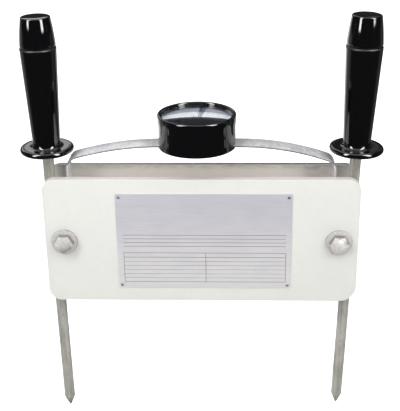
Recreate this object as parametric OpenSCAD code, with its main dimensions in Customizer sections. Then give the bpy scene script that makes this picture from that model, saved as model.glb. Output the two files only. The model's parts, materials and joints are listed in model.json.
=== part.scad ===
// Heavy-duty 6/12 V battery discharge tester, millimetres.
// Two insulating boards stand apart on two clamp bolts. Each bolt also carries a
// steel prod with a moulded handle, one end of the folded load strip and one of
// the two bent strips that hold the round voltmeter above the boards.
// X runs to the right, Y to the back and Z up. The origin lies midway between the
// prods, in the middle of the gap between the boards, level with the lower point.

/* [Boards] */
// Width of each board
board_w = 264; // [240:1:300]
// Height of each board
board_h = 112.6; // [100:0.2:140]
// Thickness of each board
board_t = 6.4; // [4:0.2:10]
// Free space between the two boards
board_gap = 27; // [24:0.5:36]
// Height of the boards' lower edge above the lower prod point
board_z = 121.5; // [80:0.5:160]
// Radius of the rounded board corners
corner_r = 11; // [4:0.5:20]
// Radius of the one corner that is cut back further, low on the right
corner_cut_r = 14.5; // [4:0.5:24]

/* [Clamp bolts] */
// Shank diameter of the clamp bolts
bolt_d = 9.5; // [7:0.1:10]
// Distance of the bolt axes from the boards' side edges
bolt_inset = 16.5; // [13:0.5:24]
// Height of the bolt axes above the boards' lower edge
bolt_rise = 56.2; // [40:0.2:80]
// Width across flats of bolt heads and nuts
hex_af = 14.3; // [13:0.1:17]
// Height of the bolt heads
head_h = 6; // [4:0.2:8]
// Height of the clamp nuts
nut_h = 8; // [5:0.2:10]
// Length of bolt that shows past each clamp nut
bolt_tail = 3; // [1:0.5:8]
// Outer diameter of the large washers
washer_d = 22.4; // [18:0.2:28]
// Thickness of the large washers
washer_t = 1.6; // [1:0.1:3]
// Outer diameter of the spacer sleeves
spacer_d = 16; // [13:0.5:20]

/* [Prods] */
// Diameter of the prod rods
rod_d = 9.5; // [7:0.1:11]
// Distance from the left bolt's axis out to the left rod's axis
rod_offset_left = 11.9; // [10.5:0.05:14]
// Distance from the right bolt's axis out to the right rod's axis
rod_offset_right = 10.7; // [10.5:0.05:14]
// Length of the conical point
point_l = 9.5; // [6:0.5:16]
// Diameter of the blunt end of the point
point_tip_d = 1.6; // [0.6:0.1:3]
// Lean of the left prod, tip inwards, in degrees
lean_left = 0.7; // [0:0.1:3]
// Lean of the right prod, tip inwards, in degrees
lean_right = 1.65; // [0:0.1:3]
// Height of the right point above the left one
right_point_rise = 5.4; // [0:0.2:12]
// Outer diameter of the boss that is welded to each rod
boss_d = 16; // [14:0.5:18]
// Radial running clearance of the boss on the bolt
boss_fit = 0.05; // [0.02:0.01:0.1]

/* [Handles] */
// Height of the left hand guard above the boards
guard_rise_left = 22.7; // [18:0.2:40]
// Height of the right hand guard above the boards
guard_rise_right = 22.8; // [18:0.2:40]
// Diameter of the hand guard
guard_d = 44.8; // [38:0.2:52]
// Thickness of the hand guard at its rim
guard_t = 5; // [3:0.1:6]
// Length of the grip from guard to cap
grip_l = 83.8; // [60:0.2:110]
// Diameter of the grip just above the guard
grip_low_d = 22.8; // [20:0.2:28]
// Diameter of the grip at its upper end
grip_top_d = 29.8; // [26:0.2:36]
// Length of the screwed cap
cap_l = 24.6; // [20:0.2:34]
// Diameter of the cap at its top
cap_top_d = 24.2; // [20:0.2:30]
// Depth of the socket in the grip's upper end
socket_depth = 20; // [18:0.5:30]
// Diameter of the socket in the grip's upper end
socket_d = 20; // [18:0.2:22]
// Width across flats of the nut that holds the grip
handle_nut_af = 13; // [12:0.1:14.4]
// Height of the nut that holds the grip
handle_nut_h = 6.5; // [5:0.5:8]

/* [Meter strips] */
// Width of the bent strips
strip_w = 19; // [14:0.5:22]
// Thickness of the bent strips
strip_t = 1.4; // [1.2:0.1:2]
// Distance from each bolt axis in to its strip's leg
leg_inset = 4.4; // [2:0.1:8]
// Outer radius of the bend above each leg
bend_r = 10; // [6:0.5:14]
// Height of the strips' top above the boards where they carry the meter
seat_rise = 25.6; // [20:0.2:40]
// Half the length of the level part of the strips, under the meter
strip_flat = 33; // [30:1:40]
// Radius of the left strip's arch
arch_r_left = 258; // [240:1:400]
// Radius of the right strip's arch
arch_r_right = 216; // [200:1:400]
// Free space between the two strips under the meter
strip_gap = 8; // [4:0.5:14]
// Length of the quarter twist between foot and leg
twist_l = 26; // [20:1:30]

/* [Load strip] */
// Width of the folded load strip
load_w = 19; // [14:0.5:24]
// Thickness of the folded load strip
load_t = 1.6; // [1:0.1:2]
// Distance from each bolt axis to the fold at that side
fold_inset = 30; // [24:1:60]

/* [Meter] */
// Distance of the meter's axis right of the middle, negative for left
meter_x = -3; // [-10:0.1:10]
// Diameter of the meter over its rim and over its base
meter_d = 65; // [58:0.2:72]
// Height of the meter from base edge to rim
meter_h = 28; // [24:0.2:34]
// How far the side of the meter draws in between base and rim, in diameter
waist = 1.3; // [0:0.1:3]
// Wall of the meter case
case_wall = 2.8; // [2:0.1:4]
// Thickness of the meter case's floor
floor_t = 2.4; // [2:0.1:3]
// Depth of the dial below the rim
dial_depth = 6; // [4:0.1:7]
// Thickness of the dial plate
dial_t = 0.8; // [0.6:0.1:1.2]
// Thickness of the meter glass
glass_t = 1.3; // [1:0.1:1.6]
// Depth of the glass below the rim
glass_depth = 2.7; // [1.4:0.1:2.9]
// Distance from the meter's axis forward to the needle's axis
pivot_forward = 18; // [14:0.5:20]
// Length of the needle from its axis to its tip
needle_l = 26; // [24:0.5:40]
// Angle of the resting needle left of the middle, in degrees
needle_rest = 6.5; // [0:0.5:10]
// Distance between the two terminal studs
terminal_pitch = 26; // [22:1:34]
// Diameter of the terminal studs
terminal_d = 5; // [4:0.5:6]

/* [Label plate] */
// Width of the label plate
label_w = 147.2; // [100:0.2:160]
// Height of the label plate
label_h = 87.2; // [60:0.2:90]
// Thickness of the label plate
label_t = 0.7; // [0.4:0.1:1.5]
// Distance of the label plate's middle right of the boards' middle
label_x = 2.5; // [-10:0.5:10]
// Distance from the boards' upper edge down to the label plate
label_drop = 12.6; // [6:0.2:20]
// Distance from the label plate's edges to its rivets
rivet_inset = 3; // [2:0.2:6]
// Diameter of the rivet heads
rivet_d = 2.8; // [2:0.2:4]

/* [Hidden] */
$fn = 64;
eps = 0.01;
fit = 0.1;
BOARD_COLOUR = [0.93, 0.93, 0.91];
STEEL_COLOUR = [0.66, 0.66, 0.63];
ZINC_COLOUR = [0.78, 0.78, 0.77];
BLACK_COLOUR = [0.05, 0.05, 0.06];

// Places that several pieces share
board_top = board_z + board_h;
bolt_x = board_w / 2 - bolt_inset;
bolt_z = board_z + bolt_rise;
gap_half = board_gap / 2;
board_face = gap_half + board_t;
washer_face = board_face + washer_t;
rod_clear = 0.5;
boss_half = rod_d / 2 + rod_clear;
boss_bore_d = bolt_d + 2 * boss_fit;
bolt_hole_d = bolt_d + 0.2;

// Places on the meter
seat_z = board_top + seat_rise;
skirt_h = strip_t + 1.4;
meter_z = seat_z - skirt_h;
open_r = meter_d / 2 - case_wall;
ledge = 1.2;
deep_r = open_r - ledge;
floor_z = meter_z + skirt_h + floor_t;
dial_z = meter_z + meter_h - dial_depth;
glass_z = meter_z + meter_h - glass_depth - glass_t;

// Sides: -1 is the left one and 1 the right one
LEFT = -1;
RIGHT = 1;
function lean(side) = side == LEFT ? lean_left : lean_right;
function point_z(side) = side == LEFT ? 0 : right_point_rise;
function guard_top(side) = board_top + (side == LEFT ? guard_rise_left : guard_rise_right);
function rod_offset(side) = side == LEFT ? rod_offset_left : rod_offset_right;
function arch_r(side) = side == LEFT ? arch_r_left : arch_r_right;

// The left meter strip is clamped behind its boss and the right one in front of it.
function strip_face(side) = side == LEFT ? 1 : -1;
function strip_y(side) = strip_face(side) * (boss_half + strip_t / 2);

// ---- Boards and label plate -------------------------------------------------

// A flat outline with its own radius at each corner: low left, low right, top right, top left.
module rounded_outline(w, h, radii) {
    polygon([[radii[0], 0], [w - radii[1], 0], [w, radii[1]], [w, h - radii[2]],
             [w - radii[2], h], [radii[3], h], [0, h - radii[3]], [0, radii[0]]]);
    translate([radii[0], radii[0]]) circle(radii[0]);
    translate([w - radii[1], radii[1]]) circle(radii[1]);
    translate([w - radii[2], h - radii[2]]) circle(radii[2]);
    translate([radii[3], h - radii[3]]) circle(radii[3]);
}

// Stands a flat outline up, facing the front, with its front face at y.
module upright(y, t) {
    translate([0, y + t, 0]) rotate([90, 0, 0]) linear_extrude(t) children();
}

module board_outline() {
    translate([-board_w / 2, board_z])
        rounded_outline(board_w, board_h, [corner_r, corner_cut_r, corner_r, corner_r]);
}

module bolt_holes(d) {
    for (side = [LEFT, RIGHT]) translate([side * bolt_x, bolt_z]) circle(d = d);
}

module front_board() {
    color(BOARD_COLOUR) difference() {
        upright(-board_face, board_t) difference() {
            board_outline();
            bolt_holes(bolt_hole_d);
        }
        upright(-board_face - eps, rivet_depth + eps) at_rivets() circle(d = rivet_shank_d + fit);
    }
}

module back_board() {
    color(BOARD_COLOUR) upright(gap_half, board_t) difference() {
        board_outline();
        bolt_holes(bolt_hole_d);
    }
}

label_top = board_top - label_drop;
rivet_shank_d = rivet_d * 0.6;
rivet_depth = 4;
rivet_dome = rivet_d * 0.3;

module at_rivets() {
    for (i = [-1, 1], j = [-1, 1])
        translate([label_x + i * (label_w / 2 - rivet_inset),
                   label_top - label_h / 2 + j * (label_h / 2 - rivet_inset)]) children();
}

module label_plate() {
    color([0.8, 0.8, 0.84]) upright(-board_face - label_t, label_t) difference() {
        translate([label_x - label_w / 2, label_top - label_h])
            rounded_outline(label_w, label_h, [1, 1, 1, 1]);
        at_rivets() circle(d = rivet_shank_d + fit);
    }
}

module label_rivets() {
    dome_r = (rivet_d * rivet_d / 4 + rivet_dome * rivet_dome) / (2 * rivet_dome);
    label_face = -board_face - label_t;
    color([0.35, 0.34, 0.34]) for (i = [-1, 1], j = [-1, 1])
        translate([label_x + i * (label_w / 2 - rivet_inset), label_face,
                   label_top - label_h / 2 + j * (label_h / 2 - rivet_inset)])
            rotate([90, 0, 0]) {
                translate([0, 0, -rivet_depth - label_t + fit])
                    cylinder(d = rivet_shank_d, h = rivet_depth + label_t, $fn = 24);
                intersection() {
                    translate([0, 0, rivet_dome - dome_r]) sphere(dome_r, $fn = 32);
                    cylinder(d = rivet_d, h = rivet_dome, $fn = 32);
                }
            }
}

// ---- Clamp bolts ------------------------------------------------------------

// Draws its children at both bolt axes, with their +Z turned to the back.
module at_bolts(y) {
    for (side = [LEFT, RIGHT]) translate([side * bolt_x, y, bolt_z]) rotate([-90, 0, 0]) children();
}

// A hexagon bar whose corners are turned off at one end or both.
module hex_bar(af, h, low_chamfer = true, high_chamfer = true) {
    corner_d = af / cos(30);
    chamfer_h = (corner_d - af) / 2 * tan(30);
    intersection() {
        cylinder(d = corner_d, h = h, $fn = 6);
        union() {
            cylinder(d1 = low_chamfer ? af : corner_d, d2 = corner_d, h = chamfer_h);
            translate([0, 0, chamfer_h]) cylinder(d = corner_d, h = h - 2 * chamfer_h);
            translate([0, 0, h - chamfer_h])
                cylinder(d1 = corner_d, d2 = high_chamfer ? af : corner_d, h = chamfer_h);
        }
    }
}

module ring(outer_d, inner_d, h) {
    difference() {
        cylinder(d = outer_d, h = h);
        translate([0, 0, -1]) cylinder(d = inner_d, h = h + 2);
    }
}

module clamp_bolts() {
    shank_l = 2 * washer_face + nut_h + bolt_tail;
    tip_chamfer = 1;
    color(ZINC_COLOUR) at_bolts(-washer_face) {
        translate([0, 0, -head_h]) hex_bar(hex_af, head_h, high_chamfer = false);
        cylinder(d = bolt_d, h = shank_l - tip_chamfer);
        translate([0, 0, shank_l - tip_chamfer])
            cylinder(d1 = bolt_d, d2 = bolt_d - 2 * tip_chamfer, h = tip_chamfer);
    }
}

module front_washers() {
    color(ZINC_COLOUR) at_bolts(-washer_face) ring(washer_d, bolt_d + 0.6, washer_t);
}

module back_washers() {
    color(ZINC_COLOUR) at_bolts(board_face) ring(washer_d, bolt_d + 0.6, washer_t);
}

module clamp_nuts() {
    color(ZINC_COLOUR) at_bolts(washer_face) difference() {
        hex_bar(hex_af, nut_h);
        translate([0, 0, -1]) cylinder(d = bolt_d + fit, h = nut_h + 2);
    }
}

// A sleeve from a board's inner face to the strip that is clamped on that side of the boss.
module spacer(side, face) {
    clamped_t = strip_face(side) == face ? strip_t : load_t;
    sleeve_l = gap_half - boss_half - clamped_t;
    y = face < 0 ? -gap_half : gap_half - sleeve_l;
    translate([side * bolt_x, y, bolt_z]) rotate([-90, 0, 0])
        ring(spacer_d, bolt_d + 0.3, sleeve_l);
}

module front_spacers() {
    color(STEEL_COLOUR) for (side = [LEFT, RIGHT]) spacer(side, -1);
}

module back_spacers() {
    color(STEEL_COLOUR) for (side = [LEFT, RIGHT]) spacer(side, 1);
}

// ---- Load strip -------------------------------------------------------------

// The resistance strip runs along the gap three times: out in front of the right
// fold, back down the middle and out again behind the left fold.
module load_strip() {
    outer_y = boss_half + load_t / 2;
    fold_r = outer_y / 2;
    fold_x = bolt_x - fold_inset;
    color([0.45, 0.42, 0.4]) difference() {
        union() {
            translate([0, 0, bolt_z - load_w / 2]) linear_extrude(load_w) {
                translate([-bolt_x, -outer_y - load_t / 2]) square([bolt_x + fold_x, load_t]);
                translate([-fold_x, -load_t / 2]) square([2 * fold_x, load_t]);
                translate([-fold_x, outer_y - load_t / 2]) square([bolt_x + fold_x, load_t]);
                translate([fold_x, -fold_r]) fold(RIGHT, fold_r);
                translate([-fold_x, fold_r]) fold(LEFT, fold_r);
            }
            load_end(LEFT, -outer_y);
            load_end(RIGHT, outer_y);
        }
        for (side = [LEFT, RIGHT]) translate([side * bolt_x, 0, bolt_z])
            rotate([90, 0, 0]) cylinder(d = bolt_hole_d, h = board_gap, center = true);
    }
}

// Half a ring, open towards the middle.
module fold(side, r) {
    difference() {
        circle(r + load_t / 2);
        circle(r - load_t / 2);
        translate([side > 0 ? -2 * r : 0, -2 * r]) square([2 * r, 4 * r]);
    }
}

module load_end(side, y) {
    translate([side * bolt_x, y, bolt_z]) rotate([90, 0, 0])
        cylinder(d = load_w, h = load_t, center = true);
}

// ---- Meter strips -----------------------------------------------------------

leg_u = bolt_x - leg_inset;
twist_z = bolt_z + strip_w / 2 + 1;
twist_steps = 18;

// Each strip is drawn outwards from the middle along +X, then turned to its side.
module on_side(side) {
    if (side == RIGHT) children();
    else mirror([1, 0, 0]) children();
}

function ease(s) = (1 - cos(180 * s)) / 2;

// Corners of the strip where it has turned through the share s of the quarter twist
function twist_ring(side, s) =
    let (turn = 90 * ease(s), face = strip_face(side),
         mid = [bolt_x + (leg_u - bolt_x) * ease(s), strip_y(side) * (1 - ease(s))],
         along = [cos(turn), face * sin(turn)] * strip_w / 2,
         across = [-face * sin(turn), cos(turn)] * strip_t / 2)
    [for (c = [[1, 1], [-1, 1], [-1, -1], [1, -1]])
        let (p = mid + c[0] * along + c[1] * across) [p[0], p[1], twist_z + s * twist_l]];

module quarter_twist(side) {
    rings = [for (i = [0 : twist_steps]) each twist_ring(side, i / twist_steps)];
    last = 4 * twist_steps;
    walls = [for (i = [0 : twist_steps - 1], k = [0 : 3])
        let (a = 4 * i + k, b = 4 * i + (k + 1) % 4) each [[a, b + 4, b], [a, a + 4, b + 4]]];
    polyhedron(rings, concat([[0, 1, 2, 3]], walls, [[last + 3, last + 2, last + 1, last]]));
}

function arc(centre, r, from, to, steps = 12) =
    [for (i = [0 : steps]) let (a = from + (to - from) * i / steps)
        [centre[0] + r * cos(a), centre[1] + r * sin(a)]];

// Side view of leg, bend, arch and level seat, outwards along +X
module strip_profile(side) {
    r = arch_r(side);
    outer_u = leg_u + strip_t / 2;
    arch = [strip_flat, seat_z - r];
    bend_u = outer_u - bend_r;
    bend = [bend_u, arch[1] + sqrt(pow(r - bend_r, 2) - pow(bend_u - arch[0], 2))];
    turn = atan2(bend[1] - arch[1], bend[0] - arch[0]);
    inner_end = side * meter_x + strip_gap / 2;
    leg_low = twist_z + twist_l;
    polygon(concat(
        [[inner_end, seat_z - strip_t], [inner_end, seat_z]],
        arc(arch, r, 90, turn), arc(bend, bend_r, turn, 0),
        [[outer_u, leg_low], [outer_u - strip_t, leg_low]],
        arc(bend, bend_r - strip_t, 0, turn), arc(arch, r - strip_t, turn, 90)));
}

module strip_foot(side) {
    translate([bolt_x, strip_y(side) + strip_t / 2, bolt_z]) rotate([90, 0, 0])
        linear_extrude(strip_t) difference() {
            union() {
                circle(d = strip_w);
                translate([-strip_w / 2, 0]) square([strip_w, twist_z - bolt_z]);
            }
            circle(d = bolt_hole_d);
        }
}

module meter_strip(side) {
    color(ZINC_COLOUR) on_side(side) {
        strip_foot(side);
        quarter_twist(side);
        difference() {
            translate([0, strip_w / 2, 0]) rotate([90, 0, 0])
                linear_extrude(strip_w) strip_profile(side);
            translate([side * meter_x + terminal_pitch / 2, 0, seat_z - strip_t - 1])
                cylinder(d = terminal_d + 0.2, h = strip_t + 2);
        }
    }
}

module meter_strip_left() { meter_strip(LEFT); }
module meter_strip_right() { meter_strip(RIGHT); }

// ---- Prods ------------------------------------------------------------------

stem_d = rod_d - 1.5;
nut_washer_t = 1.6;

// Places along a rod, up from the level of its bolt
function drop(side) = rod_offset(side) * sin(lean(side));
function point_s(side) = (point_z(side) - bolt_z + drop(side)) / cos(lean(side));
function guard_s(side) = (guard_top(side) - bolt_z + drop(side)) / cos(lean(side));
function joint_s(side) = guard_s(side) + grip_l;

// Draws its children around the bolt axis, turned by the prod's lean.
module on_bolt(side) {
    translate([side * bolt_x, 0, bolt_z]) rotate([0, side * lean(side), 0]) children();
}

// Draws its children along the rod's own axis.
module on_rod(side) {
    on_bolt(side) translate([side * rod_offset(side), 0, 0]) children();
}

module prod(side) {
    low = point_s(side);
    shoulder = guard_s(side) - guard_t;
    stem_top = joint_s(side) - socket_depth + nut_washer_t + handle_nut_h + 3;
    color(STEEL_COLOUR) difference() {
        union() {
            on_rod(side) rotate_extrude()
                polygon([[0, low], [point_tip_d / 2, low], [rod_d / 2, low + point_l],
                         [rod_d / 2, shoulder], [stem_d / 2, shoulder],
                         [stem_d / 2, stem_top], [0, stem_top]]);
            on_bolt(side) rotate([90, 0, 0])
                cylinder(d = boss_d, h = 2 * boss_half, center = true);
        }
        on_bolt(side) rotate([90, 0, 0]) cylinder(d = boss_bore_d, h = boss_d, center = true);
    }
}

module prod_left() { prod(LEFT); }
module prod_right() { prod(RIGHT); }

// ---- Handles ----------------------------------------------------------------

bead_r = guard_t / 2;

// Half outline of the moulded grip with its hand guard
module grip_profile() {
    fillet_r = 3;
    low_r = grip_low_d / 2;
    translate([0, -guard_t]) square([guard_d / 2 - bead_r, guard_t - 0.6]);
    translate([guard_d / 2 - bead_r, -bead_r]) circle(bead_r);
    polygon([[0, -1], [low_r, -1], [low_r, fillet_r], [grip_top_d / 2, grip_l - 1],
             [grip_top_d / 2 - 0.6, grip_l], [0, grip_l]]);
    difference() {
        translate([0, -1]) square([low_r + fillet_r, fillet_r + 0.4]);
        translate([low_r + fillet_r, fillet_r - 0.6]) circle(fillet_r);
    }
}

module grip(side) {
    color(BLACK_COLOUR) on_rod(side) translate([0, 0, guard_s(side)]) difference() {
        rotate_extrude($fn = 96) grip_profile();
        translate([0, 0, -guard_t - 1]) cylinder(d = stem_d + 2 * fit, h = grip_l + guard_t);
        translate([0, 0, grip_l - socket_depth]) cylinder(d = socket_d, h = socket_depth + 1);
    }
}

module grip_left() { grip(LEFT); }
module grip_right() { grip(RIGHT); }

// Half outline of the hollow cap: rounded sides, a slightly domed top and a spigot below
module cap_profile() {
    low_r = grip_top_d / 2 - 0.3;
    top_r = cap_top_d / 2;
    edge_r = 1.2;
    bulge = 0.3;
    spigot_l = 8;
    spigot_wall = 1.6;
    side_top = cap_l - edge_r;
    polygon(concat(
        [[0, 0.4], [low_r - 0.5, 0.4], [low_r, 0.9]],
        [for (i = [1 : 10]) let (s = i / 10)
            [low_r + (top_r - low_r) * s + bulge * sin(180 * s), 0.9 + (side_top - 0.9) * s]],
        [[top_r - 0.4, cap_l - 0.7], [top_r - edge_r, cap_l - 0.1], [top_r / 2, cap_l + 0.15],
         [0, cap_l + 0.25]]));
    translate([socket_d / 2 - fit - spigot_wall, -spigot_l]) square([spigot_wall, spigot_l + 1]);
}

module cap(side) {
    hollow_d = socket_d - 2 * fit - 3.2;
    color(BLACK_COLOUR) on_rod(side) translate([0, 0, joint_s(side)]) difference() {
        rotate_extrude($fn = 96) cap_profile();
        translate([0, 0, -1]) cylinder(d = hollow_d, h = cap_l - 8);
    }
}

module cap_left() { cap(LEFT); }
module cap_right() { cap(RIGHT); }

// The grip is held down on the rod's shoulder by a washer and nut in its socket.
module handle_washer(side) {
    color(ZINC_COLOUR) on_rod(side) translate([0, 0, joint_s(side) - socket_depth])
        ring(socket_d - 1, stem_d + 2 * fit, nut_washer_t);
}

module handle_nut(side) {
    color(ZINC_COLOUR) on_rod(side)
        translate([0, 0, joint_s(side) - socket_depth + nut_washer_t]) difference() {
            hex_bar(handle_nut_af, handle_nut_h);
            translate([0, 0, -1]) cylinder(d = stem_d + 0.06, h = handle_nut_h + 2);
        }
}

module handle_washer_left() { handle_washer(LEFT); }
module handle_washer_right() { handle_washer(RIGHT); }
module handle_nut_left() { handle_nut(LEFT); }
module handle_nut_right() { handle_nut(RIGHT); }

// ---- Meter case, dial and glass ----------------------------------------------

module at_meter(z) {
    translate([meter_x, 0, z]) children();
}

// Half outline of the case's outside: wider base, drawn-in neck and a rim with a rounded lip
module case_profile() {
    r = meter_d / 2;
    neck = r - waist / 2;
    rim_r = case_wall / 2;
    polygon([[0, 0], [r - 0.4, 0], [r - 0.2, 0.3], [r - 0.2, 1.4], [r - 0.5, 2.8],
             [neck + 0.1, meter_h / 2], [neck, meter_h - 8],
             [r - 0.3, meter_h - 7], [r, meter_h - 6.2],
             [r, meter_h - rim_r], [0, meter_h - rim_r]]);
    translate([r - rim_r, meter_h - rim_r]) circle(rim_r);
}

module meter_case() {
    skirt_r = deep_r + 0.4;
    color(BLACK_COLOUR) at_meter(meter_z) difference() {
        rotate_extrude($fn = 128) case_profile();
        translate([0, 0, skirt_h + floor_t]) cylinder(r = deep_r, h = meter_h, $fn = 128);
        translate([0, 0, meter_h - dial_depth - dial_t])
            cylinder(r = open_r, h = meter_h, $fn = 128);
        translate([0, 0, -1]) cylinder(r = skirt_r, h = 1 + skirt_h, $fn = 128);
        translate([-meter_d, -strip_w / 2 - 0.5, -1]) cube([2 * meter_d, strip_w + 1, 1 + skirt_h]);
        at_terminals() translate([0, 0, -1]) cylinder(d = terminal_d + 0.2, h = meter_h);
    }
}

module at_terminals() {
    for (side = [LEFT, RIGHT]) translate([side * terminal_pitch / 2, 0, 0]) children();
}

stud_head_h = 2.4;
terminal_washer_t = 1;
terminal_nut_h = 4;

module terminal_studs() {
    shank_l = floor_t + strip_t + terminal_washer_t + terminal_nut_h + 2;
    color([0.75, 0.62, 0.3]) at_meter(floor_z) at_terminals() {
        cylinder(d = 1.7 * terminal_d, h = stud_head_h);
        translate([0, 0, -shank_l]) cylinder(d = terminal_d, h = shank_l);
    }
}

module terminal_washers() {
    color(ZINC_COLOUR) at_meter(seat_z - strip_t - terminal_washer_t) at_terminals()
        ring(2 * terminal_d, terminal_d + 0.3, terminal_washer_t);
}

module terminal_nuts() {
    color([0.75, 0.62, 0.3])
        at_meter(seat_z - strip_t - terminal_washer_t - terminal_nut_h) at_terminals()
            difference() {
                hex_bar(1.6 * terminal_d, terminal_nut_h);
                translate([0, 0, -1]) cylinder(d = terminal_d + 0.06, h = terminal_nut_h + 2);
            }
}

module dial_plate() {
    color([0.92, 0.93, 0.95]) at_meter(dial_z - dial_t) difference() {
        cylinder(r = open_r - fit, h = dial_t, $fn = 128);
        translate([0, -pivot_forward, -1]) cylinder(d = 7, h = dial_t + 2);
    }
}

ring_wall = 1.1;

// The ring that holds the dial down and carries the glass
module dial_ring() {
    color(BLACK_COLOUR) at_meter(dial_z)
        ring(2 * (open_r - fit), 2 * (open_r - ring_wall), glass_z - dial_z);
}

module meter_glass() {
    color([0.8, 0.9, 0.95, 0.3]) at_meter(glass_z)
        cylinder(r = open_r - fit, h = glass_t, $fn = 128);
}

// The snap ring above the glass, with a gap at the front to squeeze it by
module glass_ring() {
    ring_h = 0.6;
    gap_w = 4;
    color(BLACK_COLOUR) at_meter(glass_z + glass_t) difference() {
        ring(2 * (open_r - fit), 2 * (open_r - ring_wall), ring_h);
        translate([-gap_w / 2, -meter_d / 2, -1]) cube([gap_w, meter_d / 2, ring_h + 2]);
    }
}

// The cover over the front of the dial stands on two feet, above the needle.
mask_rise = 0.85;
mask_t = 0.5;

module dial_mask() {
    mask_r = open_r - ring_wall - 0.4;
    edge_r = 62;
    edge_y = 1;
    color(BLACK_COLOUR) at_meter(dial_z) {
        translate([0, 0, mask_rise]) linear_extrude(mask_t) intersection() {
            circle(mask_r, $fn = 128);
            translate([0, edge_y - edge_r]) circle(edge_r, $fn = 180);
        }
        for (side = [LEFT, RIGHT]) translate([side * 22, -6, 0]) cylinder(d = 2.4, h = mask_rise);
    }
}

// ---- Meter movement -----------------------------------------------------------

yoke_r = 9.6;
yoke_bore_r = 7.6;
core_r = 5.2;
bearing_h = 1.6;
yoke_h = 13;
coil_r = 7;
coil_h = 9.2;
coil_z = bearing_h + 1;
core_gap = 0.4;
coil_bar = 0.8;
coil_wall = 1.2;
coil_d = 3;
spindle_d = 1.2;
hub_d = 2.4;
bearing_d = spindle_d + 0.1;
bridge_t = 1.2;
spring_rise = 0.6;

// Places its children on the needle's axis, measured up from the case's floor.
module at_pivot(rise) {
    at_meter(floor_z + rise) translate([0, -pivot_forward, 0]) children();
}

// The soft iron ring that closes the core's magnetic field
module magnet_yoke() {
    color([0.5, 0.5, 0.52]) at_pivot(0) ring(2 * yoke_r, 2 * yoke_bore_r, yoke_h);
}

// The round magnet inside the coil, held by two brass arms that the coil never reaches
module core_magnet() {
    core_h = coil_h - 2 * coil_bar - 2 * core_gap;
    arm_w = 1.6;
    color([0.4, 0.4, 0.44]) at_pivot(coil_z + coil_bar + core_gap) {
        cylinder(r = core_r, h = core_h);
        intersection() {
            translate([-arm_w / 2, -yoke_bore_r, core_h / 4])
                cube([arm_w, 2 * yoke_bore_r, core_h / 2]);
            cylinder(r = yoke_bore_r, h = core_h);
        }
    }
}

module lower_bridge() {
    color([0.75, 0.62, 0.3]) at_pivot(0)
        ring(2 * yoke_bore_r, bearing_d, bearing_h);
}

module upper_bridge() {
    bridge_w = 5;
    color([0.75, 0.62, 0.3]) at_pivot(yoke_h) {
        difference() {
            intersection() {
                translate([-yoke_r, -bridge_w / 2, 0]) cube([2 * yoke_r, bridge_w, bridge_t]);
                cylinder(r = yoke_r, h = bridge_t);
            }
            translate([0, 0, -1]) cylinder(d = bearing_d, h = bridge_t + 2);
        }
        translate([spring_r, 0, bridge_t]) cylinder(d = 0.8, h = spring_rise + spring_h);
    }
}

module moving_coil() {
    color([0.72, 0.4, 0.2]) at_pivot(coil_z) rotate([0, 0, needle_rest]) difference() {
        translate([-coil_r, -coil_d / 2, 0]) cube([2 * coil_r, coil_d, coil_h]);
        translate([-coil_r + coil_wall, -coil_d, coil_bar])
            cube([2 * (coil_r - coil_wall), 2 * coil_d, coil_h - 2 * coil_bar]);
    }
}

// Two stub shafts on the coil: one in the lower bearing, one up through the dial
module spindle() {
    coil_top = coil_z + coil_h;
    needle_level = dial_z - floor_z + needle_rise;
    color([0.8, 0.8, 0.82]) at_pivot(0) {
        translate([0, 0, 0.2]) cylinder(d = spindle_d, h = coil_z - 0.2);
        translate([0, 0, coil_z - 0.6]) cylinder(d = hub_d, h = 0.6);
        translate([0, 0, coil_top]) cylinder(d = hub_d, h = 0.6);
        translate([0, 0, coil_top]) cylinder(d = spindle_d, h = needle_level - coil_top);
        translate([0, 0, yoke_h + bridge_t + spring_rise]) cylinder(d = hub_d, h = spring_h);
    }
}

spring_r = 5;
spring_h = 0.5;

// Flat spiral that brings the needle back to the middle
module hairspring() {
    turns = 3;
    steps = 54;
    wire = 0.25;
    inner_r = hub_d / 2 + wire / 2 + 0.03;
    function spiral(s, offset) =
        let (r = inner_r + (spring_r - 0.4 - inner_r) * s + offset, a = 360 * turns * s)
        [r * cos(a), r * sin(a)];
    color([0.75, 0.62, 0.3]) at_pivot(yoke_h + bridge_t + spring_rise) linear_extrude(spring_h)
        polygon(concat([for (i = [0 : steps]) spiral(i / steps, wire / 2)],
                       [for (i = [steps : -1 : 0]) spiral(i / steps, -wire / 2)]));
}

needle_rise = 0.3;
needle_t = 0.25;

// The needle lies just above the dial, with a short balancing tail.
module needle() {
    tail_l = 6.5;
    root_w = 1.4;
    tip_w = 0.4;
    color([0.08, 0.08, 0.08]) at_pivot(dial_z - floor_z + needle_rise)
        rotate([0, 0, needle_rest]) linear_extrude(needle_t) {
            circle(d = 4);
            polygon([[root_w / 2, 0], [tip_w / 2, needle_l], [-tip_w / 2, needle_l],
                     [-root_w / 2, 0], [-1.2, -tail_l], [1.2, -tail_l]]);
        }
}

// The wound resistor in series with the coil, standing on the case's floor
module series_resistor() {
    bobbin_d = 9;
    bobbin_h = 12;
    cheek_t = 1;
    color([0.55, 0.35, 0.2]) at_meter(floor_z) translate([0, 14, 0]) {
        cylinder(d = bobbin_d, h = cheek_t);
        cylinder(d = bobbin_d - 1.6, h = bobbin_h);
        translate([0, 0, bobbin_h - cheek_t]) cylinder(d = bobbin_d, h = cheek_t);
    }
}

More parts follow.
